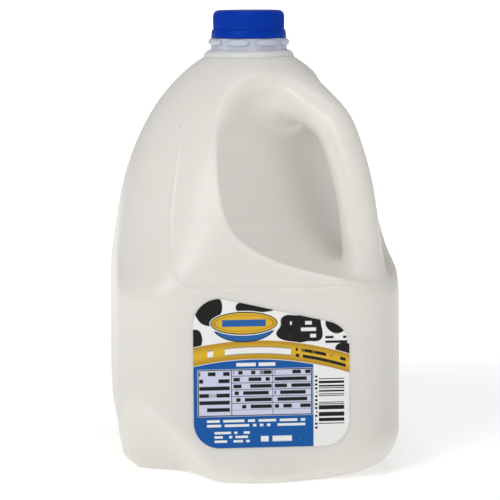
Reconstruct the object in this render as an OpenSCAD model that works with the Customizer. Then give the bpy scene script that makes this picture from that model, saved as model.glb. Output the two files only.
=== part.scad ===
// One-gallon milk jug: a blown bottle with its handle in one upright corner, the milk inside it,
// a pressed-on cap with a ribbed skirt, and a film label on the flat front face.
// The floor is z = 0, the bottle's axis is the Z axis, the label faces -Y and the handle is in
// the corner between +X and -Y.

/* [Body] */
// Width across the flat faces of the lower body
body_w = 156; // [140:1:172]
// Radius of the four upright corners
corner_r = 33; // [24:1:40]
// Height of the upright walls, from the floor to where the dome starts
wall_h = 100; // [86:1:120]
// Height of the dome, from the upright walls to the root of the neck
dome_h = 128; // [110:1:150]
// Thickness of the blown wall
wall = 0.8; // [0.6:0.1:1.4]
// How far the standing edge lies in from the walls
foot_inset = 7.5; // [5:0.5:10]
// Height of the hollow under the base
push_up = 6; // [3:0.5:9]
// Width of the standing ring, from its outer edge to the hollow
foot_w = 8; // [6:0.5:12]
// Width of each of the four feet on that ring, in the middle of each side
foot_span = 32; // [20:2:44]
// Lift of the ring between the feet
foot_lift = 0.4; // [0.3:0.1:0.8]

/* [Corner relief] */
// Distance from the axis to the valley of the two relieved corners, at the floor
relief_r = 58; // [54:1:66]
// Slope of that valley, in degrees from the floor
relief_slope = 49; // [40:1:55]
// Turn of the relief's two faces away from square, which makes the valley
relief_fold = 20; // [8:1:24]
// Radius of the valley's rounded bottom
relief_fillet = 4; // [2:0.5:6]

/* [Handle] */
// Thickness of the handle
handle_d = 18.6; // [15:0.2:22]
// How far the handle's centre line lies outside the dome
handle_out = 4; // [1:0.5:8]
// Distance from the bottle's axis to the recess wall behind the handle, at its waist
recess_depth = 27; // [27:0.5:34]
// Turn of the recess wall's two flanks away from square, in degrees
flank_angle = 4; // [2:0.5:7]
// Lean of the recess wall below its waist, out towards the shelf, in degrees
recess_lean = 18; // [10:1:22]
// Radius of the recess's rounded corners, at the shelf and at the roof
recess_fillet = 14; // [9:1:16]
// Height of the waist above the middle of the lower rounded corner
recess_rise = 56; // [46:1:62]
// Depth of the recess's roof below the neck's root
roof_drop = 9; // [7:1:14]
// Height of the upright stretch of wall between the waist and the roof's corner
waist_h = 12; // [6:1:18]
// Fall of the shelf towards the corner, in degrees
shelf_fall = 21; // [14:1:26]

/* [Neck] */
// Radius at the root of the neck, where the dome ends
neck_root_r = 26.3; // [24:0.1:30]
// Radius of the transfer ring above the dome
ring_r = 24.4; // [22:0.1:28]
// Height of the transfer ring
ring_h = 3.4; // [2:0.2:5]
// Radius of the neck's wall
neck_r = 21.3; // [19:0.1:21.5]
// Height of the plain neck between the transfer ring and the bead
neck_gap = 2; // [1:0.2:4]
// Height of the bead of lugs under the cap
bead_h = 4.6; // [3:0.2:6]
// Number of lugs round the bead
lug_count = 8; // [6:1:12]
// Radius that the lugs reach
lug_r = 23.1; // [22:0.1:25]
// Radius of the finish that the cap grips
finish_r = 18.6; // [17:0.1:19]
// Thickness of the neck's wall, which is heavier than the body's
neck_wall = 1.6; // [1.2:0.1:2.2]

/* [Milk] */
// How far the milk's surface lies below the root of the neck
headspace = 2; // [1:1:30]

/* [Cap] */
// Height of the cap
cap_h = 15.3; // [12:0.1:20]
// Thickness of the cap's tamper band at its foot
band_wall = 2.25; // [1.8:0.05:3]
// Height of the tamper band
band_h = 4.4; // [3:0.2:6]
// Thickness of the ribbed skirt, over its ribs
skirt_wall = 1.45; // [1.2:0.05:2]
// Distance of the flat top's edge from the skirt, which its rounded rim takes
rim_inset = 2.9; // [2:0.1:5]
// Number of ribs on the skirt
rib_count = 90; // [60:2:120]
// Depth of the grooves between the ribs
rib_depth = 0.4; // [0.2:0.05:0.6]
// Thickness of the cap's top
cap_top = 1.3; // [1:0.1:2]
// Gap between the cap and the bottle, all round
cap_gap = 0.25; // [0.1:0.05:0.4]

/* [Label] */
// Width of the label
label_w = 84; // [60:1:86]
// Height of the label at its taller, left side
label_h = 81; // [60:1:84]
// Drop of the label's top edge towards its right side
label_drop = 13; // [0:1:20]
// Height of the label's lower edge
label_foot = 21; // [18:1:30]
// Distance of the label's centre from the middle of the face, towards +X
label_shift = 4; // [0:0.5:5]
// Radius of the label's corners
label_r = 14; // [4:1:18]
// Thickness of the film
label_t = 0.25; // [0.2:0.05:0.5]

/* [Hidden] */

band_r = finish_r + cap_gap + band_wall;
skirt_r = finish_r + cap_gap + skirt_wall;
top_r = skirt_r - rim_inset;
half_w = body_w / 2;
flat_half = half_w - corner_r;
neck_root_z = wall_h + dome_h;
dome_rise = dome_h / sqrt(1 - pow(neck_root_r / half_w, 2));
dome_turn = asin(dome_h / dome_rise);
bead_z = neck_root_z + ring_h + neck_gap;
cap_z = bead_z + bead_h + cap_gap;
cap_top_z = cap_z + cap_h;
lip_z = cap_top_z - cap_top;
milk_z = neck_root_z - headspace;
sides = 40;
foot_steps = 3;
wall_steps = 3;
dome_steps = 13;
corner_fade = 23;
foot_square = 20;
foot_round_h = 24;
handle_sides = 14;
handle_steps = 12;
reach = body_w;
slice_h = 0.3;
rim_step = 0.1;

// Middles of the recess's rounded corners, out from the axis and up: roof, waist and shelf
roof_corner = [recess_depth + recess_fillet, neck_root_z - roof_drop - recess_fillet];
waist_corner = roof_corner - [0, waist_h];
shelf_corner = waist_corner + [recess_rise * tan(recess_lean), -recess_rise];

// Height of the shelf at a distance out along the handle's diagonal
function shelf_z(out) = shelf_corner[1] - recess_fillet / cos(shelf_fall)
    - (out - shelf_corner[0]) * tan(shelf_fall);

// Half-width of the dome at a height
function dome_half(z) = half_w * sqrt(max(0, 1 - pow(max(0, z - wall_h) / dome_rise, 2)));

// Distance of a corner's centre from the middle: less near the floor, and little in the upper dome
function square_at(z) = z < wall_h
    ? flat_half - foot_square * pow(max(0, 1 - z / foot_round_h), 1.5)
    : flat_half / (1 + pow((z - wall_h) / corner_fade, 2));

// Radius of a rounded square along one direction: half-width, corner centre, direction
function square_radius(half, centre, angle) =
    let (u = max(abs(cos(angle)), abs(sin(angle))))
    let (v = min(abs(cos(angle)), abs(sin(angle))))
    let (r = half - centre)
    half * v / u <= centre ? half / u
        : centre * (u + v) + sqrt(max(0, r * r - pow(centre * (u - v), 2)));

// Directions of the section's points, closer together round the corners
function section_angle(i) = 360 * i / sides + 4.5 * sin(4 * 360 * i / sides);

// One ring of the body: half-width, height of the ring, height that sets its squareness
function ring(half, z, z_square) = [
    for (i = [0:sides - 1])
        let (a = section_angle(i))
        let (r = square_radius(half, min(square_at(z_square), half - 1), a))
        [r * cos(a), r * sin(a), z]
];

// The body's side, from the standing edge to the neck's root, moved in by a wall
function side_rings(inset) = [
    for (i = [0:foot_steps])
        let (t = 90 * i / foot_steps)
        let (r = foot_inset - inset)
        let (z = foot_inset - r * cos(t))
        ring(half_w - foot_inset + r * sin(t), z, foot_inset * (1 - cos(t))),
    for (i = [1:wall_steps - 1])
        let (z = foot_inset + (foot_round_h - foot_inset) * i / (wall_steps - 1))
        ring(half_w - inset, z, z),
    for (i = [0:dome_steps])
        let (t = dome_turn * i / dome_steps)
        let (n = norm([dome_rise * cos(t), half_w * sin(t)]))
        let (z = wall_h + dome_rise * sin(t))
        ring(half_w * cos(t) - inset * dome_rise * cos(t) / n, z - inset * half_w * sin(t) / n, z)
];

// A closed solid through a list of rings
module through(rings) {
    count = len(rings);
    points = [for (r = rings) each r];
    faces = [
        [for (i = [0:sides - 1]) i],
        for (k = [0:count - 2])
            for (i = [0:sides - 1])
                let (j = (i + 1) % sides)
                each [
                    [k * sides + i, (k + 1) * sides + i, (k + 1) * sides + j],
                    [k * sides + i, (k + 1) * sides + j, k * sides + j]
                ],
        [for (i = [sides - 1:-1:0]) (count - 1) * sides + i]
    ];
    polyhedron(points, faces, convexity = 4);
}

// Turns a thing that lies along +X to the handle's corner
module at_handle() {
    rotate([0, 0, -45])
        children();
}

// What the recess takes out of the dome on one side of the handle's plane, grown by a wall
module recess_flank(grow, side) {
    far = shelf_corner + reach * [1, -tan(shelf_fall)];
    far_roof = roof_corner + [reach, 0];
    translate([recess_depth, 0, 0])
        rotate([0, 0, side * flank_angle])
            hull()
                for (t = [-reach, reach])
                    for (p = [roof_corner, waist_corner, shelf_corner, far, far_roof])
                        translate([p[0] - recess_depth, t, p[1]])
                            sphere(recess_fillet + grow, $fn = 24);
}

// The hollow under the base, grown by a wall
module base_hollow(grow) {
    half = half_w - foot_inset - foot_w + grow;
    corner = flat_half - foot_square;
    across = 2 * (relief_r - foot_w + grow);
    intersection() {
        hull()
            for (side = [0:90:270])
                rotate([0, 0, side])
                    translate([corner, corner, 0]) {
                        translate([0, 0, -1])
                            cylinder(r = half - corner, h = 1 + grow, $fn = 16);
                        cylinder(r = half - corner - push_up, h = push_up + grow, $fn = 16);
                    }
        rotate([0, 0, 45])
            cube([across, 2 * reach, reach], center = true);
    }
}

// What lifts the standing ring between its feet, grown by a wall
module ring_lift(grow) {
    low = foot_span / 2 - grow;
    for (turn = [0:90:270])
        rotate([0, 0, turn])
            translate([low, low, -1])
                cube([reach, reach, 1 + foot_lift + grow]);
}

// The folded bevel at the foot of one corner, grown by a wall
module corner_relief(grow) {
    r = relief_fillet;
    along = reach * [cos(relief_slope), 0, sin(relief_slope)];
    middle = [relief_r + r * sin(relief_slope), 0, -r * cos(relief_slope)];
    hull()
        for (valley = [middle - along / 8, middle + along / 2])
            translate(valley) {
                sphere(r + grow, $fn = 16);
                for (side = [-1, 1])
                    translate([reach * sin(relief_fold), side * reach * cos(relief_fold), 0])
                        for (out = [0, reach])
                            translate([out, 0, 0])
                                sphere(r + grow, $fn = 16);
            }
}

// Steps of the handle's run, from inside the dome's top down into the corner
handle_top_z = neck_root_z - 14;
handle_foot_z = shelf_z(half_w) - 14;
handle_root = 34;
function handle_z(i) = handle_top_z + (handle_foot_z - handle_top_z) * pow(i / handle_steps, 1.25);
function handle_s(i) = dome_half(handle_z(i)) + handle_out
    - (handle_out + handle_root) * pow(max(0, 1 - i / 4), 2);
function handle_lean(i) =
    let (before = max(0, i - 1))
    let (after = min(handle_steps, i + 1))
    atan2(handle_s(after) - handle_s(before), handle_z(before) - handle_z(after));

// The handle widens where it runs into the body, at its top and at its foot
function handle_swell(i) = 1 + 0.35 * pow(max(0, 1 - i / 4), 2)
    + 0.3 * pow(max(0, 4 * i / handle_steps - 3), 2);

// One slice of the handle, square to its run
module handle_slice(i, grow) {
    translate([handle_s(i), 0, handle_z(i)])
        rotate([0, -handle_lean(i), 0])
            cylinder(d = handle_d * handle_swell(i) - 2 * grow, h = slice_h, center = true, $fn = handle_sides);
}

// The handle's tube, made thinner by a wall
module handle(grow) {
    for (i = [0:handle_steps - 1])
        hull() {
            handle_slice(i, grow);
            handle_slice(i + 1, grow);
        }
}

// The blown form: the outside with no inset, or the inside with the wall's thickness
module form(inset) {
    difference() {
        through(side_rings(inset));
        at_handle()
            for (side = [-1, 1])
                recess_flank(inset, side);
        base_hollow(inset);
        ring_lift(inset);
        for (corner = [45, 225])
            rotate([0, 0, corner])
                corner_relief(inset);
    }
    at_handle()
        handle(inset);
}

// The neck's outside, with its transfer ring and its bead of lugs
module neck() {
    translate([0, 0, neck_root_z - 1])
        cylinder(r = ring_r, h = 1 + ring_h, $fn = 40);
    translate([0, 0, neck_root_z])
        cylinder(r = neck_r, h = bead_z + bead_h - neck_root_z, $fn = 40);
    translate([0, 0, neck_root_z])
        cylinder(r = finish_r, h = lip_z - neck_root_z, $fn = 40);
    intersection() {
        translate([0, 0, bead_z])
            cylinder(r = lug_r, h = bead_h, $fn = 40);
        for (i = [0:lug_count - 1])
            rotate([0, 0, 360 * (i + 0.5) / lug_count])
                translate([neck_r - 0.5, 0, bead_z + bead_h / 2])
                    scale([0.35, 1, 0.33])
                        sphere(d = 15, $fn = 16);
    }
}

module bottle() {
    color([0.87, 0.86, 0.84])
        difference() {
            union() {
                form(0);
                neck();
            }
            form(wall);
            translate([0, 0, milk_z])
                cylinder(r = finish_r - neck_wall, h = cap_top_z - milk_z, $fn = 40);
        }
}

module milk() {
    color([0.97, 0.96, 0.93])
        intersection() {
            form(wall);
            translate([0, 0, milk_z / 2])
                cube([2 * body_w, 2 * body_w, milk_z], center = true);
        }
}

// Zigzag outline of the ribbed skirt
function rib_outline(outer, depth, count) = [
    for (i = [0:2 * count - 1])
        let (r = i % 2 == 0 ? outer : outer - depth)
        [r * cos(180 * i / count), r * sin(180 * i / count)]
];

module cap() {
    bore_r = finish_r + cap_gap;
    rim_r = skirt_r - rib_depth - rim_step;
    rim = rim_r - top_r;
    color([0.03, 0.2, 0.6])
        difference() {
            union() {
                translate([0, 0, cap_z])
                    cylinder(r1 = band_r, r2 = skirt_r + 0.3, h = band_h);
                translate([0, 0, cap_z + band_h])
                    linear_extrude(cap_h - band_h - rim)
                        polygon(rib_outline(skirt_r, rib_depth, rib_count));
                translate([0, 0, cap_top_z - rim])
                    rotate_extrude()
                        intersection() {
                            union() {
                                square([top_r, rim]);
                                translate([top_r, 0])
                                    circle(rim, $fn = 64);
                            }
                            square([rim_r, rim]);
                        }
            }
            translate([0, 0, cap_z - 1])
                cylinder(r = bore_r, h = cap_h - cap_top + 1);
        }
}

module label() {
    left = label_shift - label_w / 2 + label_r;
    right = label_shift + label_w / 2 - label_r;
    low = label_foot + label_r;
    high = label_foot + label_h - label_r;
    color([0.93, 0.93, 0.9])
        translate([0, -half_w, 0])
            rotate([90, 0, 0])
                linear_extrude(label_t)
                    hull() {
                        translate([left, low])
                            circle(label_r, $fn = 64);
                        translate([right, low])
                            circle(label_r, $fn = 64);
                        translate([left, high])
                            circle(label_r, $fn = 64);
                        translate([right, high - label_drop])
                            circle(label_r, $fn = 64);
                    }
}

bottle();
milk();
cap();
label();
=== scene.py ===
import math
import bmesh
import bpy
import numpy as np
from mathutils import Matrix, Vector


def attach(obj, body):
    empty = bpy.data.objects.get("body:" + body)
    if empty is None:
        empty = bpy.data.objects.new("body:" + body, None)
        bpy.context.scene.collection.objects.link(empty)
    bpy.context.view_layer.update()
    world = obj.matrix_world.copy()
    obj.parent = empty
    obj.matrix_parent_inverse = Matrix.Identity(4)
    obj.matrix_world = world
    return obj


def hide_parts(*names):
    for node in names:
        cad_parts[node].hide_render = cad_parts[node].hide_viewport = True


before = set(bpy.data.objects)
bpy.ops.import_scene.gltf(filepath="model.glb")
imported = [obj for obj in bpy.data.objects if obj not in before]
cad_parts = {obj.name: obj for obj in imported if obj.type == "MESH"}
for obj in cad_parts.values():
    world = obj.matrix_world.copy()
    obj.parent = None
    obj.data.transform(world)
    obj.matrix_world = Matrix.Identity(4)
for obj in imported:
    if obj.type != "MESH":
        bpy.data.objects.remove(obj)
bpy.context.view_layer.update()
mm = 0.001


# shape helpers: lengths in mm, a field is below zero inside its form
def smoothMax(a, b, soft):
    near = np.maximum(soft - np.abs(a - b), 0.0) / soft
    return np.maximum(a, b) + near * near * soft * 0.25


def smoothMin(a, b, soft):
    return -smoothMax(-a, -b, soft)


def sloped(angle):
    return math.cos(math.radians(angle)), math.sin(math.radians(angle))


# bottle: sizes in mm, angles in degrees; s runs out from the axis through the handle's corner
bottle = {
    "halfWidth": 78.0,
    "cornerRadius": 33.0,
    "wallHeight": 100.0,
    "domeHeight": 128.0,
    "neckRootRadius": 26.3,
    "cornerFade": 23.0,  # height over which the corners lose their squareness
    "footRound": 7.0,  # rounding between side and floor
    "footInset": 15.0,  # how far the corners draw in at the floor
    "footHeight": 27.0,  # height at which they start to
    "sideTrim": 0.6,  # taken off the sides at -X and +X
    "footSquare": 20.0,
    "footFade": 24.0,
    "hollowHalf": 62.5,
    "hollowRise": 6.0,  # push-up of the base
    "hollowReach": 50.0,
    "reliefRadius": 58.0,  # flattened lower corners, from the axis
    "reliefSlope": 49.0,
    "reliefFold": 20.0,
    "reliefEdge": 5.0,
    "reliefValley": 4.0,
    "backTaper": 5.0,  # extra draw-in at the corner across from the handle
    "taperHeight": 52.0,
    "recessDepth": 26.4,  # wall behind the handle, from the axis
    "recessRound": 14.0,
    "recessLean": 18.0,
    "recessRise": 56.0,
    "roofDrop": 9.0,
    "waistHeight": 12.0,
    "shelfFall": 21.0,
    "shelfBend": 17.0,  # size of the soft corner between recess wall and shelf
    "flankAngle": 3.9,
    "recessEdge": 1.6,
    "beadHeight": 0.4,  # raised line along the recess
    "beadWidth": 1.3,
    "prowEdge": 2.0,
    "handleRadius": 10.0,
    "handleOut": 3.0,  # middle of the handle past the dome
    "handleRoot": 38.0,
    "handleTop": 214.0,
    "handleFoot": 101.5,
    "handleBlend": 4.0,
    "shoulderBlend": 4.5,
    "roofEdge": 5.0,
    "footBlend": 8.0,
    "rootBlend": 24.0,
    "web": ((20.0, 210.0), (40.0, 207.0), 9.0),  # solid web under the upper root: two points and a radius
    "panelLeft": -48.7,  # raised line round the panel over the label
    "panelLow": 107.0,
    "panelRound": 13.0,
    "ridgeHeight": 0.45,
    "ridgeWidth": 0.8,
    "voxel": 1.85,  # size of the remeshing grid
}
neckRoot = bottle["wallHeight"] + bottle["domeHeight"]
domeRise = bottle["domeHeight"] / math.sqrt(1 - (bottle["neckRootRadius"] / bottle["halfWidth"]) ** 2)
domeEnd = 0.955  # share of the ellipse that is used before it runs on straight


def domeHalf(z):
    up = np.clip((z - bottle["wallHeight"]) / domeRise, 0.0, domeEnd)
    past = np.maximum(z - bottle["wallHeight"] - domeEnd * domeRise, 0.0)
    swell = 0.8 * np.exp(-((z - 166) / 26) ** 2)  # fuller in the middle of the dome
    slim = 1.7 * np.clip((z - 203) / 24, 0, 1)  # slimmer under the neck
    return bottle["halfWidth"] * np.sqrt(1 - up * up) - 1.6 * past + (swell - slim)


def cornerCentre(z):
    flat = bottle["halfWidth"] - bottle["cornerRadius"]
    low = flat - bottle["footSquare"] * np.maximum(0.0, 1 - np.maximum(z, 0.0) / bottle["footFade"]) ** 1.5
    high = flat / (1 + ((z - bottle["wallHeight"]) / bottle["cornerFade"]) ** 2)
    return np.where(z < bottle["wallHeight"], low, high)


def squareRadius(half, centre, c, s):
    u, v = np.maximum(c, s), np.minimum(c, s)
    bend = half - centre
    rounded = centre * (u + v) + np.sqrt(np.maximum(0.0, bend ** 2 - (centre * (u - v)) ** 2))
    return np.where(half * v / u <= centre, half / u, rounded)


def sideField(x, y, z):
    out = np.maximum(np.hypot(x, y), 1e-6)
    c, s = np.abs(x) / out, np.abs(y) / out
    here, above = (squareRadius(domeHalf(h), np.minimum(cornerCentre(h), domeHalf(h) - 1), c, s)
                   for h in (z, z + 0.5))
    lean = np.clip(1 - np.maximum(z, 0) / bottle["taperHeight"], 0, 1) ** 2 * np.clip((y - x) / 60, 0, 1)
    low = np.clip(1 - z / bottle["footHeight"], 0, 0.92)
    corner = np.clip((np.abs(x * y) / (out * out) - 0.1) / 0.35, 0, 1)
    foot = bottle["footInset"] * (1 - np.sqrt(1 - low * low)) * corner
    trim = bottle["sideTrim"] * np.clip(c * c - s * s, 0, 1) * np.clip((190 - z) / 60, 0, 1)
    lean = bottle["backTaper"] * lean + foot + trim
    return (out - here + lean) / np.sqrt(1 + (2 * (above - here)) ** 2)


def hollowField(x, y, z):
    half = bottle["hollowHalf"]
    out = np.maximum(np.hypot(x, y), 1e-6)
    edge = squareRadius(np.full_like(out, half), 25.0, np.abs(x) / out, np.abs(y) / out)
    sides = (out - edge + np.maximum(z, 0.0)) * 0.75
    sides = smoothMax(sides, np.abs(x + y) / math.sqrt(2) - bottle["hollowReach"], 6.0)
    return smoothMax(sides, z - bottle["hollowRise"], 4.0)


def reliefField(x, y, z):
    along, across = np.abs(x + y) / math.sqrt(2), (x - y) / math.sqrt(2)
    (c, s), (fc, fs) = sloped(bottle["reliefSlope"]), sloped(bottle["reliefFold"])
    length = math.sqrt((s * fc) ** 2 + (s * fs) ** 2 + (c * fc) ** 2)
    base = -s * fc * (along - bottle["reliefRadius"]) + c * fc * z
    faces = [(base + side * s * fs * across) / length for side in (-1, 1)]
    return smoothMax(faces[0], faces[1], bottle["reliefValley"]) - bottle["reliefValley"] / 4


roofCorner = (bottle["recessRound"], neckRoot - bottle["roofDrop"] - bottle["recessRound"])
waistCorner = (roofCorner[0], roofCorner[1] - bottle["waistHeight"])
shelfCorner = (waistCorner[0] + bottle["recessRise"] * math.tan(math.radians(bottle["recessLean"])),
               waistCorner[1] - bottle["recessRise"])
shelfRun = math.tan(math.radians(bottle["shelfFall"]))
wallRun = math.tan(math.radians(bottle["recessLean"]))


def shelfBend(step):
    up, along = bottle["shelfBend"] * (1 - step) ** 2, bottle["shelfBend"] * step ** 2
    return shelfCorner[0] - wallRun * up + along, shelfCorner[1] + up - shelfRun * along


recessLine = [(roofCorner[0] + 200, roofCorner[1]), roofCorner, waistCorner] + [shelfBend(i / 5) for i in range(6)]
recessLine.append((shelfCorner[0] + 200, shelfCorner[1] - 200 * shelfRun))


def segmentDistance(a, b, s, z):
    run, rise = b[0] - a[0], b[1] - a[1]
    along = np.clip(((s - a[0]) * run + (z - a[1]) * rise) / (run * run + rise * rise), 0.0, 1.0)
    return np.hypot(s - a[0] - along * run, z - a[1] - along * rise), along


def recessField(out, across, z):
    flanks = []
    for side in (-1, 1):
        c, s = sloped(side * bottle["flankAngle"])
        deep = (out - bottle["recessDepth"]) * c + across * s
        gap, depth = None, None
        for a, b in zip(recessLine, recessLine[1:]):
            reach = segmentDistance(a, b, deep, z)[0]
            size = math.hypot(b[0] - a[0], b[1] - a[1])
            beyond = ((b[0] - a[0]) * (z - a[1]) - (b[1] - a[1]) * (deep - a[0])) / size
            gap = reach if gap is None else np.minimum(gap, reach)
            depth = -beyond if depth is None else np.maximum(depth, -beyond)
        flanks.append(np.where(depth < 0, -gap, gap) - bottle["recessRound"])
    return smoothMin(flanks[0], flanks[1], bottle["prowEdge"])


def handleRun(step):
    z = bottle["handleTop"] - (bottle["handleTop"] - bottle["handleFoot"]) * step ** 1.25
    lead = max(0.0, 1 - 3.25 * step) ** 2
    swell = 1 + 0.35 * lead + 0.04 * max(0.0, 4 * step - 3) ** 2
    out = float(domeHalf(np.array(z))) + bottle["handleOut"] - bottle["handleRoot"] * lead
    return out, z, bottle["handleRadius"] * swell


handleLine = [handleRun(i / 40) for i in range(41)]


def handleField(out, across, z):
    best = None
    for a, b in zip(handleLine, handleLine[1:]):
        reach, along = segmentDistance(a, b, out, z)
        field = np.hypot(reach, across) - (a[2] + (b[2] - a[2]) * along)
        best = field if best is None else smoothMin(best, field, 0.4)
    return best


def webField(out, across, z):
    a, b, radius = bottle["web"]
    reach = segmentDistance(a, b, out, z)[0]
    return np.hypot(reach, across) - radius


def panelField(x, y, z):
    u = np.where(np.abs(y) > np.abs(x), x, -y)
    left = bottle["panelLeft"] + 7.5 * np.clip((z - 135) / 52, 0, 1) ** 1.5
    r = bottle["panelRound"]
    across, up = left + r - u, bottle["panelLow"] + r - z
    return np.hypot(np.maximum(across, 0), np.maximum(up, 0)) + np.minimum(np.maximum(across, up), 0) - r


def labelSides(x, y):
    return np.where(np.abs(y) > np.abs(x), y < 0, x > 0)


def panelRidge(x, y, z):
    u = np.where(np.abs(y) > np.abs(x), x, -y)
    fade = np.clip((196 - z) / 24, 0, 1) * np.clip((52 - u) / 12, 0, 1) * labelSides(x, y)
    return bottle["ridgeHeight"] * fade * np.exp(-(panelField(x, y, z) / bottle["ridgeWidth"]) ** 2)


def bottleField(points):
    x, y, z = points.T
    out, across = (x - y) / math.sqrt(2), (x + y) / math.sqrt(2)
    body = smoothMax(sideField(x, y, z), -z, bottle["footRound"])
    body = smoothMax(body, -reliefField(x, y, z), bottle["reliefEdge"])
    body = smoothMax(body, -hollowField(x, y, z), 5.0)
    body = body - panelRidge(x, y, z)
    near = (out > 15) & (z > 95)
    if near.any():
        s, t, h = out[near], across[near], z[near]
        recess, handle, web = recessField(s, t, h), handleField(s, t, h), webField(s, t, h)
        broad = bottle["footBlend"] + (bottle["rootBlend"] - bottle["footBlend"]) * np.clip((h - 165) / 35, 0, 1)
        hollow = smoothMax(recess, -smoothMin(handle, web, 6.0), broad)
        crisp = bottle["recessEdge"] + bottle["roofEdge"] * np.clip((h - 178) / 30, 0, 1)
        carved = smoothMax(body[near], -hollow, crisp)
        edge = np.hypot(body[near], hollow) / bottle["beadWidth"]
        carved -= bottle["beadHeight"] * np.exp(-edge ** 2) * np.clip((np.minimum(handle, web) - 4) / 14, 0, 1)
        blend = bottle["handleBlend"] + bottle["shoulderBlend"] * np.clip((h - 182) / 20, 0, 1)
        body[near] = smoothMin(carved, handle, blend)
    return body


def fineLines(points):
    x, y, z = points.T
    out, across = (x - y) / math.sqrt(2), (x + y) / math.sqrt(2)
    ridge = (np.abs(panelField(x, y, z)) < 2.6) & (z < 198) & labelSides(x, y)
    edge = np.hypot(sideField(x, y, z), recessField(out, across, z)) < 4.2
    return ridge | (edge & (out > 15) & (z > 95))


def surfaceGradient(points, inset, step=0.15):
    here = bottleField(points) + inset
    slopes = [(bottleField(points + np.eye(3)[k] * step) + inset - here) / step for k in range(3)]
    return here, np.stack(slopes, axis=1)


def startMesh(inset, rows=150, spokes=240, top=229.5):  # rough form to remesh: rings round the axis, and the handle
    heights = np.concatenate([np.linspace(inset + 0.2, 24, 16), np.linspace(26, top - inset, rows)])
    angles = np.arange(spokes) * 2 * math.pi / spokes
    bm = bmesh.new()
    rings = []
    for z in heights:
        low, high = np.full(spokes, 5.0), np.full(spokes, 115.0)
        far = np.linspace(5, 115, 111)
        grid = np.array([[r * math.cos(a), r * math.sin(a), z] for a in angles for r in far])
        x, y, h = grid.T
        field = smoothMax(sideField(x, y, h), -reliefField(x, y, h), 4.0)
        s, t = (x - y) / math.sqrt(2), (x + y) / math.sqrt(2)
        cut = np.where((s > 15) & (h > 95), -recessField(s, t, h), -50.0)
        field = np.maximum(field, cut).reshape(spokes, -1) + inset
        first = np.argmax(field > 0, axis=1)
        before, after = field[np.arange(spokes), first - 1], field[np.arange(spokes), first]
        radius = far[first - 1] + (far[first] - far[first - 1]) * before / (before - after)
        rings.append([bm.verts.new((r * math.cos(a), r * math.sin(a), z)) for r, a in zip(radius, angles)])
    for lower, upper in zip(rings, rings[1:]):
        for i in range(spokes):
            j = (i + 1) % spokes
            bm.faces.new((lower[i], lower[j], upper[j], upper[i]))
    bm.faces.new(rings[0][::-1])
    bm.faces.new(rings[-1])
    tube = []
    for i, (s, z, radius) in enumerate(handleLine):
        before, after = handleLine[max(0, i - 1)], handleLine[min(40, i + 1)]
        lean = math.atan2(after[0] - before[0], before[1] - after[1])
        ring = []
        for k in range(24):
            turn = k * math.pi / 12
            outward = (radius - inset) * math.cos(turn)
            spot = s + outward * math.cos(lean)
            side = (radius - inset) * math.sin(turn)
            ring.append(bm.verts.new(((spot + side) / math.sqrt(2), (side - spot) / math.sqrt(2),
                                      z + outward * math.sin(lean))))
        tube.append(ring)
    for lower, upper in zip(tube, tube[1:]):
        for i in range(24):
            j = (i + 1) % 24
            bm.faces.new((lower[i], upper[i], upper[j], lower[j]))
    bm.faces.new(tube[0])
    bm.faces.new(tube[-1][::-1])
    bmesh.ops.recalc_face_normals(bm, faces=bm.faces)
    return bm


def meshObject(name, bm):
    mesh = bpy.data.meshes.new(name)
    bm.to_mesh(mesh)
    bm.free()
    made = bpy.data.objects.new(name, mesh)
    bpy.context.scene.collection.objects.link(made)
    return made


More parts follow.
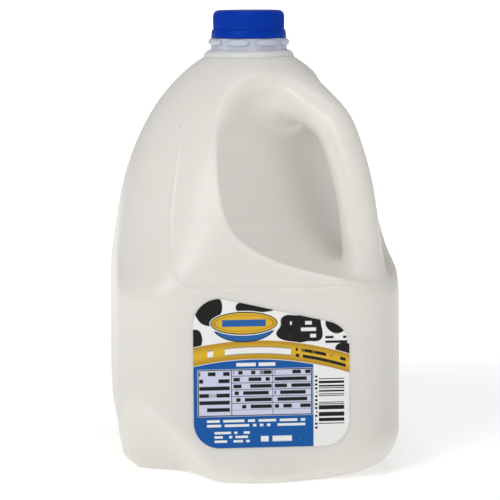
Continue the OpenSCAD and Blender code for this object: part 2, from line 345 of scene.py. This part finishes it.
def blownForm(name, inset, voxel, top=None, passes=5):  # a form of the bottle, inset by a wall, open or cut flat
    made = meshObject(name, startMesh(inset))
    remesh = made.modifiers.new("voxels", "REMESH")
    remesh.mode, remesh.voxel_size, remesh.use_smooth_shade = "VOXEL", voxel, True
    bpy.context.view_layer.update()
    solid = made.evaluated_get(bpy.context.evaluated_depsgraph_get())
    mesh = bpy.data.meshes.new_from_object(solid)
    made.modifiers.clear()
    made.data = mesh
    points = np.zeros(len(mesh.vertices) * 3)
    mesh.vertices.foreach_get("co", points)
    points = points.reshape(-1, 3)
    edges = np.zeros(len(mesh.edges) * 2, int)
    mesh.edges.foreach_get("vertices", edges)
    edges = edges.reshape(-1, 2)
    count = np.bincount(edges.ravel(), minlength=len(points))[:, None]
    free = points[:, 2] < 228.0 - inset
    for turn in range(passes):
        total = np.zeros_like(points)
        np.add.at(total, edges[:, 0], points[edges[:, 1]])
        np.add.at(total, edges[:, 1], points[edges[:, 0]])
        relaxed = points + 0.5 * (total / count - points)
        value, slope = surfaceGradient(relaxed, inset)
        size = np.maximum((slope ** 2).sum(axis=1), 0.2)
        move = slope * (value / size)[:, None]
        length = np.maximum(np.linalg.norm(move, axis=1), 1e-9)[:, None]
        relaxed -= move * np.minimum(1.0, 2.0 / length)
        points = np.where(free[:, None], relaxed, points)
    bm = bmesh.new()
    bm.from_mesh(mesh)
    for v, p in zip(bm.verts, points):
        v.co = p
    for turn in range(2 if top is None else 0):
        fine = fineLines(np.array([v.co for v in bm.verts]))
        bm.verts.index_update()
        chosen = [e for e in bm.edges if fine[e.verts[0].index] and fine[e.verts[1].index]]
        bmesh.ops.subdivide_edges(bm, edges=chosen, cuts=1, use_grid_fill=True)
    points = np.array([v.co for v in bm.verts])
    free = points[:, 2] < 228.0 - inset
    for turn in range(3):
        value, slope = surfaceGradient(points, inset, 0.05)
        move = slope * (value / np.maximum((slope ** 2).sum(axis=1), 0.2))[:, None]
        length = np.maximum(np.linalg.norm(move, axis=1), 1e-9)[:, None]
        points = np.where(free[:, None], points - move * np.minimum(1.0, 1.0 / length), points)
    value, slope = surfaceGradient(points, inset, 0.05)
    print(name, "vertices", len(points), "largest distance left", float(np.abs(value[free]).max()))
    for v, p in zip(bm.verts, points):
        v.co = p * mm
    bmesh.ops.triangulate(bm, faces=[f for f in bm.faces if len(f.verts) > 4])
    bm.to_mesh(mesh)
    bm.free()
    mesh.update()
    if top is not None:
        bm = bmesh.new()
        bm.from_mesh(mesh)
        cut = bmesh.ops.bisect_plane(bm, geom=bm.verts[:] + bm.edges[:] + bm.faces[:], dist=1e-6,
                                     plane_co=(0, 0, top * mm), plane_no=(0, 0, 1), clear_outer=True)
        rim = [e for e in cut["geom_cut"] if isinstance(e, bmesh.types.BMEdge)]
        bmesh.ops.contextual_create(bm, geom=rim)
        bm.to_mesh(mesh)
        bm.free()
    mesh.polygons.foreach_set("use_smooth", np.ones(len(mesh.polygons), bool))
    if top is None:
        facing = slope / np.maximum(np.linalg.norm(slope, axis=1), 1e-9)[:, None]
        facing[~free] = (0, 0, 1)
        mesh.normals_split_custom_set_from_vertices(facing)
    return made


bottleBody = blownForm("bottleBody", 0.0, bottle["voxel"])
print("bottle body built", len(bottleBody.data.polygons))
milk = {"inset": 1.1, "voxel": 3.0, "level": 226.0, "colour": (248, 246, 238)}
milkBody = blownForm("milkBody", milk["inset"], milk["voxel"], top=milk["level"])
print("milk built", len(milkBody.data.polygons))


# neck: a spun wall with its ring, and a bead of lugs
neck = {
    "profile": [(25.0, 226.2), (25.35, 228.0), (25.1, 229.0), (24.3, 230.2), (23.2, 231.0), (21.9, 231.4),
                (21.3, 232.0), (21.3, 238.1), (18.6, 238.2), (18.6, 252.2), (17.1, 252.2), (17.1, 228.0),
                (22.0, 225.4)],
    "spokes": 96,
    "lugs": 8,
    "lugAt": 20.9,
    "lugSize": (2.05, 6.7, 2.2),
    "lugHeight": 235.8,
}


def spun(bm, profile, spokes):
    verts = [bm.verts.new((r * mm, 0, z * mm)) for r, z in profile]
    ring = [bm.edges.new((a, b)) for a, b in zip(verts, verts[1:] + verts[:1])]
    bmesh.ops.spin(bm, geom=verts + ring, cent=(0, 0, 0), axis=(0, 0, 1), angle=2 * math.pi,
                   steps=spokes, use_merge=True)
    bmesh.ops.remove_doubles(bm, verts=bm.verts, dist=1e-7)


bm = bmesh.new()
spun(bm, neck["profile"], neck["spokes"])
for i in range(neck["lugs"]):
    turn = Matrix.Rotation(2 * math.pi * (i + 0.5) / neck["lugs"], 4, "Z")
    place = turn @ Matrix.Translation((neck["lugAt"] * mm, 0, neck["lugHeight"] * mm))
    size = Matrix.Diagonal([s * mm for s in neck["lugSize"]] + [1])
    bmesh.ops.create_uvsphere(bm, u_segments=24, v_segments=12, radius=1.0, matrix=place @ size)
bmesh.ops.recalc_face_normals(bm, faces=bm.faces)
bottleNeck = meshObject("bottleNeck", bm)
bottleNeck.data.polygons.foreach_set("use_smooth", np.ones(len(bottleNeck.data.polygons), bool))
bevel = bottleNeck.modifiers.new("soft", "BEVEL")
bevel.width, bevel.segments, bevel.limit_method, bevel.angle_limit = 0.3 * mm, 3, "ANGLE", math.radians(30)
print("neck built")


# cap: flared band, ribbed skirt, rounded rim
cap = {
    "ribs": 90,
    "ribDepth": 0.45,
    "perRib": 4,
    "rows": [(20.75, 238.25, 0), (21.05, 238.35, 0), (21.1, 238.6, 0), (20.62, 242.3, 0), (20.5, 242.55, 0),
             (20.15, 242.75, 0), (19.7, 242.95, 0.2), (19.9, 243.2, 1), (19.95, 247, 1), (19.95, 250.2, 1),
             (19.85, 250.9, 0.7), (19.65, 251.5, 0.25), (19.3, 252.3, 0), (18.6, 253.0, 0), (17.8, 253.4, 0),
             (17.0, 253.53, 0), (12.0, 253.55, 0)],
    "bore": 18.85,
    "under": 252.25,
}
bm = bmesh.new()
spokes = cap["ribs"] * cap["perRib"]
rings = []
for radius, z, ribbed in [(cap["bore"], cap["under"], 0), (cap["bore"], 238.3, 0)] + cap["rows"]:
    ring = []
    for i in range(spokes):
        wave = 0.5 - 0.5 * math.cos(2 * math.pi * i / cap["perRib"])
        r = radius - ribbed * cap["ribDepth"] * wave
        a = 2 * math.pi * i / spokes
        ring.append(bm.verts.new((r * mm * math.cos(a), r * mm * math.sin(a), z * mm)))
    rings.append(ring)
for lower, upper in zip(rings, rings[1:]):
    for i in range(spokes):
        j = (i + 1) % spokes
        bm.faces.new((lower[i], lower[j], upper[j], upper[i]))
bm.faces.new(rings[-1])
bm.faces.new(rings[0][::-1])
bmesh.ops.recalc_face_normals(bm, faces=bm.faces)
capPiece = meshObject("capPiece", bm)
capPiece.data.polygons.foreach_set("use_smooth", np.ones(len(capPiece.data.polygons), bool))
print("cap built", len(capPiece.data.polygons))


# materials
class Wire:
    def __init__(self, tree, socket=None):
        self.tree, self.socket = tree, socket

    def node(self, kind, settings=None, inputs=None, out=0):
        made = self.tree.nodes.new(kind)
        for key, value in (settings or {}).items():
            setattr(made, key, value)
        for key, value in (inputs or {}).items():
            if isinstance(value, Wire):
                self.tree.links.new(value.socket, made.inputs[key])
            else:
                made.inputs[key].default_value = value
        return Wire(self.tree, made.outputs[out])

    def math(self, kind, *values):
        return self.node("ShaderNodeMath", {"operation": kind}, dict(enumerate(values)))

    def __add__(self, other):
        return self.math("ADD", self, other)

    def __sub__(self, other):
        return self.math("SUBTRACT", self, other)

    def __rsub__(self, other):
        return self.math("SUBTRACT", other, self)

    def __mul__(self, other):
        return self.math("MULTIPLY", self, other)

    def __truediv__(self, other):
        return self.math("DIVIDE", self, other)

    def __rtruediv__(self, other):
        return self.math("DIVIDE", other, self)

    def __pow__(self, other):
        return self.math("POWER", self, other)

    def __neg__(self):
        return self.math("MULTIPLY", self, -1.0)

    def __abs__(self):
        return self.math("ABSOLUTE", self)

    __radd__ = __add__
    __rmul__ = __mul__

    def most(self, other):
        return self.math("MAXIMUM", self, other)

    def floor(self):
        return self.math("FLOOR", self)

    def ramp(self, low, high):
        return self.node("ShaderNodeMapRange", {"interpolation_type": "SMOOTHSTEP"},
                         {"Value": self, "From Min": low, "From Max": high, "To Min": 0.0, "To Max": 1.0})

    def inside(self, soft=0.12):
        return 1.0 - self.ramp(-soft, soft)

    def mix(self, first, second):
        return self.node("ShaderNodeMix", {"data_type": "RGBA"}, {0: self, 6: first, 7: second}, out=2)


def newMaterial(name, **values):
    material = bpy.data.materials.new(name)
    material.use_nodes = True
    shader = material.node_tree.nodes["Principled BSDF"]
    for key, value in values.items():
        shader.inputs[key.replace("_", " ")].default_value = value
    return material, shader, Wire(material.node_tree)


def linear(red, green, blue):
    return tuple(((c / 255 + 0.055) / 1.055) ** 2.4 if c > 10 else c / 3294.6 for c in (red, green, blue)) + (1.0,)


def objectAxes(wire):
    coords = wire.node("ShaderNodeTexCoord", out="Object")
    apart = coords.node("ShaderNodeSeparateXYZ", None, {0: coords})
    parts = [Wire(wire.tree, apart.socket.node.outputs[k]) * 1000.0 for k in range(3)]
    return coords, parts


def plug(shader, name, wire):
    wire.tree.links.new(wire.socket, shader.inputs[name])


plastic = {
    "colour": (222, 219, 213),
    # neck colour: painted shade with a blue cast from the cap, for the thin neck wall with no milk behind it
    "neckPaintedShade": (184, 190, 206),
    "roughness": 0.36,
    "scatter": (1.0, 0.9, 0.75),
    "scatterScale": 0.006,
    "grainScale": 780.0,
    "waveScale": 34.0,
}
hdpe, shader, wire = newMaterial("hdpe", Roughness=plastic["roughness"], Subsurface_Weight=0.55,
                                 Subsurface_Radius=plastic["scatter"], Subsurface_Scale=plastic["scatterScale"],
                                 IOR=1.5, Specular_IOR_Level=0.45)
coords, (px, py, pz) = objectAxes(wire)
# the bluish grey over the neck, from 226 to 236 mm, is painted shade and the cap's blue cast, not the plastic's own
# colour
plug(shader, "Base Color", pz.ramp(226.0, 236.0).mix(linear(*plastic["colour"]), linear(*plastic["neckPaintedShade"])))
noise = coords.node("ShaderNodeTexNoise", None, {"Vector": coords, "Scale": plastic["grainScale"], "Detail": 2.0})
wave = coords.node("ShaderNodeTexNoise", None, {"Vector": coords, "Scale": plastic["waveScale"], "Detail": 1.0})
seam = (px + py) / math.sqrt(2)  # mould line, in the plane through the handle
ridge = (abs(seam) / 0.6).inside(1.0)
height = noise * 0.2 + wave * 0.5 + ridge * 0.16
plug(shader, "Normal", coords.node("ShaderNodeBump", None, {"Strength": 0.55, "Distance": 0.0006, "Height": height}))

milkWhite, shader, wire = newMaterial("milkWhite", Base_Color=linear(*milk["colour"]), Roughness=0.2,
                                      Subsurface_Weight=0.4, Subsurface_Scale=0.004)

capColour = {"face": (0, 52, 158), "roughness": 0.36}
capBlue, shader, wire = newMaterial("capBlue", Base_Color=linear(*capColour["face"]), Roughness=capColour["roughness"],
                                    Subsurface_Weight=0.0, Specular_IOR_Level=0.06)

# film: plain fields, patches and dashes, placed in mm on the face (u along X, w up)
printing = {
    "inks": {"white": (232, 232, 230), "black": (12, 12, 14), "gold": (214, 172, 40), "goldDark": (178, 136, 34),
             "blue": (0, 84, 158), "pale": (200, 204, 226), "ribbon": (30, 92, 160)},
    "patches": [(-29.6, 96.0, 8.0, 6.6), (-5.0, 97.6, 9.5, 3.8), (21.2, 85.0, 11.5, 9.4), (38.4, 87.2, 6.6, 4.4),
                (43.4, 74.2, 4.8, 3.4), (-37.4, 80.7, 3.6, 5.0)],
    # left, right, low, high, rows, length, share, seed, ink
    "notes": [(14.0, 28.0, 79.5, 90.0, 3, 3.6, 0.72, 2.0, "white"),
              (33.0, 45.0, 76.5, 81.5, 2, 1.7, 0.75, 3.0, "black")],
    "lines": [(-35.0, -18.6, 40.0, 63.4, 6, 4.1, 0.8, 5.0, "black"),
              (-16.6, 4.0, 41.6, 63.8, 6, 2.3, 0.7, 6.0, "black"),
              (5.6, 25.0, 41.6, 63.8, 6, 2.3, 0.7, 7.0, "black"),
              (-31.0, 22.0, 32.0, 37.0, 2, 1.9, 0.8, 8.0, "white"),
              (-27.0, -8.0, 23.5, 30.5, 3, 1.7, 0.8, 9.0, "white"),
              (-2.0, 19.0, 23.0, 28.4, 1, 2.1, 0.85, 10.0, "white"),
              (-15.0, 6.0, 64.6, 68.0, 1, 1.5, 0.85, 11.0, "white")],
    "bandLines": [(-33.5, 14.5, -4.0, 3.4, 1, 3.1, 0.9, 13.0, "black"),
                  (-33.5, 14.5, -3.4, 2.8, 1, 3.1, 0.9, 13.0, "white"),
                  (17.0, 44.0, -3.4, 3.0, 2, 1.9, 0.85, 14.0, "black")],
    "bandHalf": 5.0,
    "table": (-36.0, 26.0, 38.2, 64.0),
    "stripes": (29.4, 43.2, 31.2, 59.2),
    "stripePitch": 0.46,
    "ribbons": [(17.2, 9.2, 84.6, "black"), (16.7, 8.7, 84.4, "ribbon")],
    "badge": (-10.7, 88.7),
    "badgeRings": [(18.5, 6.7, "white"), (18.0, 6.2, "black"), (17.4, 5.6, "gold")],
}
film, shader, wire = newMaterial("film", Roughness=0.42, Specular_IOR_Level=0.22)
coords, (u, v, w) = objectAxes(wire)
ink = {key: linear(*value) for key, value in printing["inks"].items()}


def boxField(left, right, low, high, corner=0.0, rise=w):
    across = abs(u - (left + right) / 2) - ((right - left) / 2 - corner)
    up = abs(rise - (low + high) / 2) - ((high - low) / 2 - corner)
    return across.most(up) - corner


def ellipseField(x, z, wide, high, wobble=0.0):
    away = ((u - x) / wide) ** 2.0 + ((w - z) / high) ** 2.0
    return (away ** 0.5 - 1.0 + wobble) * min(wide, high)


def chance(x, y=0.0, z=0.0):
    spot = coords.node("ShaderNodeCombineXYZ", None, {0: x, 1: y, 2: z})
    return coords.node("ShaderNodeTexWhiteNoise", {"noise_dimensions": "3D"}, {"Vector": spot})


def dashes(left, right, low, high, rows, size, share, seed, rise=w):
    row = (rise - low) / ((high - low) / rows)
    line = row.floor()
    word = ((u - left) / size + line * 0.37).floor()
    bar = (abs(row - line - 0.5) - 0.27).inside(0.08)
    return bar * (chance(word, line, seed) - share).inside(0.01) * boxField(left, right, low, high, 0.0, rise).inside()


colour = ink["white"]
wobble = (coords.node("ShaderNodeTexNoise", None, {"Vector": coords, "Scale": 95.0, "Detail": 0.0}) - 0.5) * 1.1
for x, z, wide, high in printing["patches"]:
    colour = ellipseField(x, z, wide, high, wobble).inside(0.2).mix(colour, ink["black"])
for *place, name in printing["notes"]:
    colour = dashes(*place).mix(colour, ink[name])

# everything below the arched band: white to the right, blue to the left, the table on the blue
arch = w - (70.8 + (u + 38.2) * 0.076 - (u + 38.2) * (u - 3.9) * 0.00321)
below = (arch + 4.9).inside()
colour = below.mix(colour, ink["white"])
colour = (below * (u - 26.5).inside()).mix(colour, ink["blue"])
table = boxField(*printing["table"])
colour = table.inside().mix(colour, ink["pale"])
frameLine = (abs(table + 0.5) - 0.25).inside(0.1)
rung = (w - 41.6) / 3.7
rules = 0.44 - abs(rung - rung.floor() - 0.5)
ruled = rules.inside(0.03) * boxField(-17.6, 25.4, 41.6, 63.6).inside()
column = (abs(u + 17.6) - 0.2).inside() + (abs(u - 4.6) - 0.15).inside()
column = column * boxField(-36, 26, 38.6, 63.8).inside()
colour = frameLine.most(ruled * 0.75).most(column).mix(colour, ink["black"])
for *place, name in printing["lines"]:
    colour = dashes(*place).mix(colour, ink[name])
stripe = chance((w / printing["stripePitch"]).floor())
colour = ((stripe - 0.52).inside(0.01) * boxField(*printing["stripes"]).inside()).mix(colour, ink["black"])
colour = dashes(27.3, 28.7, 30.0, 60.0, 14, 1.5, 0.9, 12.0).mix(colour, ink["black"])

# gold band with a white edge
sheen = (abs(arch) / 5.1).ramp(0.1, 1.0).mix(ink["gold"], ink["goldDark"])
colour = (abs(arch) - printing["bandHalf"] - 0.3).inside().mix(colour, ink["white"])
colour = (abs(arch) - printing["bandHalf"]).inside().mix(colour, sheen)
for *place, name in printing["bandLines"]:
    colour = dashes(*place, arch).mix(colour, ink[name])

# badge over its ribbon
badgeX, badgeZ = printing["badge"]
for wide, high, cut, name in printing["ribbons"]:
    ribbon = ellipseField(badgeX, badgeZ - 1.1, wide, high).inside() * (w - cut).inside()
    colour = ribbon.mix(colour, ink[name])
for wide, high, name in printing["badgeRings"]:
    colour = ellipseField(badgeX, badgeZ, wide, high).inside().mix(colour, ink[name])
colour = (abs(ellipseField(badgeX, badgeZ, 15.9, 4.4)) - 0.2).inside().mix(colour, ink["goldDark"])
colour = boxField(-22.5, 1.0, 86.9, 90.6, 1.6).inside().mix(colour, ink["ribbon"])
plug(shader, "Base Color", colour)
print("materials made")

for piece, material, node, slot in [(bottleBody, hdpe, "bottle", "bottle_plastic"),
                                    (bottleNeck, hdpe, "bottle", "bottle_plastic"),
                                    (milkBody, milkWhite, "milk", "milk"),
                                    (capPiece, capBlue, "cap", "cap_plastic")]:
    piece.data.materials.clear()
    piece.data.materials.append(material)
    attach(piece, "root")
    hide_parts(node)
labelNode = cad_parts["label"]
for spot in labelNode.material_slots:
    spot.material = film

# stage, light and camera
studio = {
    "floor": (252, 252, 252),
    "glow": 0.36,  # own light of the floor, near and far
    "farGlow": 0.9,
    "world": 0.34,
    "key": 14.0,
    "top": 8.5,
    "aim": (0.0, 0.0, 0.12),
    "camera": (-0.1213, -1.3074, 0.2797),
    "cameraAim": (0.0, 0.0, 0.1184),
    "roll": -0.35,
    "lens": 168.3,
}
bm = bmesh.new()
bmesh.ops.create_grid(bm, x_segments=1, y_segments=1, size=60.0)
floor = meshObject("floor", bm)
floorMaterial, shader, wire = newMaterial("floorWhite", Base_Color=linear(*studio["floor"]), Roughness=0.9,
                                          Specular_IOR_Level=0.1, Emission_Strength=1.0)
coords, (u, v, w) = objectAxes(wire)
far = ((u * u + v * v) ** 0.5).ramp(150.0, 900.0)
plug(shader, "Emission Color", far.mix((studio["glow"],) * 3 + (1.0,), (studio["farGlow"],) * 3 + (1.0,)))
floor.data.materials.append(floorMaterial)

world = bpy.data.worlds.new("studio")
bpy.context.scene.world = world
world.use_nodes = True
world.node_tree.nodes["Background"].inputs["Color"].default_value = (1, 1, 1, 1)
world.node_tree.nodes["Background"].inputs["Strength"].default_value = studio["world"]


def areaLight(name, place, size, power):
    data = bpy.data.lights.new(name, "AREA")
    data.shape, data.size, data.energy = "DISK", size, power
    lamp = bpy.data.objects.new(name, data)
    bpy.context.scene.collection.objects.link(lamp)
    lamp.location = place
    lamp.rotation_euler = (Vector(studio["aim"]) - Vector(place)).to_track_quat("-Z", "Y").to_euler()


areaLight("key", (-1.1, -1.6, 1.25), 0.9, studio["key"])
areaLight("top", (0.0, -0.35, 1.9), 1.1, studio["top"])

camera = bpy.data.objects.new("camera", bpy.data.cameras.new("camera"))
bpy.context.scene.collection.objects.link(camera)
camera.location = studio["camera"]
aim = (Vector(studio["cameraAim"]) - camera.location).to_track_quat("-Z", "Y")
camera.rotation_euler = (aim.to_matrix() @ Matrix.Rotation(math.radians(studio["roll"]), 3, "Z")).to_euler()
camera.data.lens = studio["lens"]
camera.data.clip_end = 100.0
bpy.context.scene.camera = camera
bpy.context.scene.view_settings.view_transform = "Standard"
bpy.context.scene.view_settings.look = "None"
print("stage set")
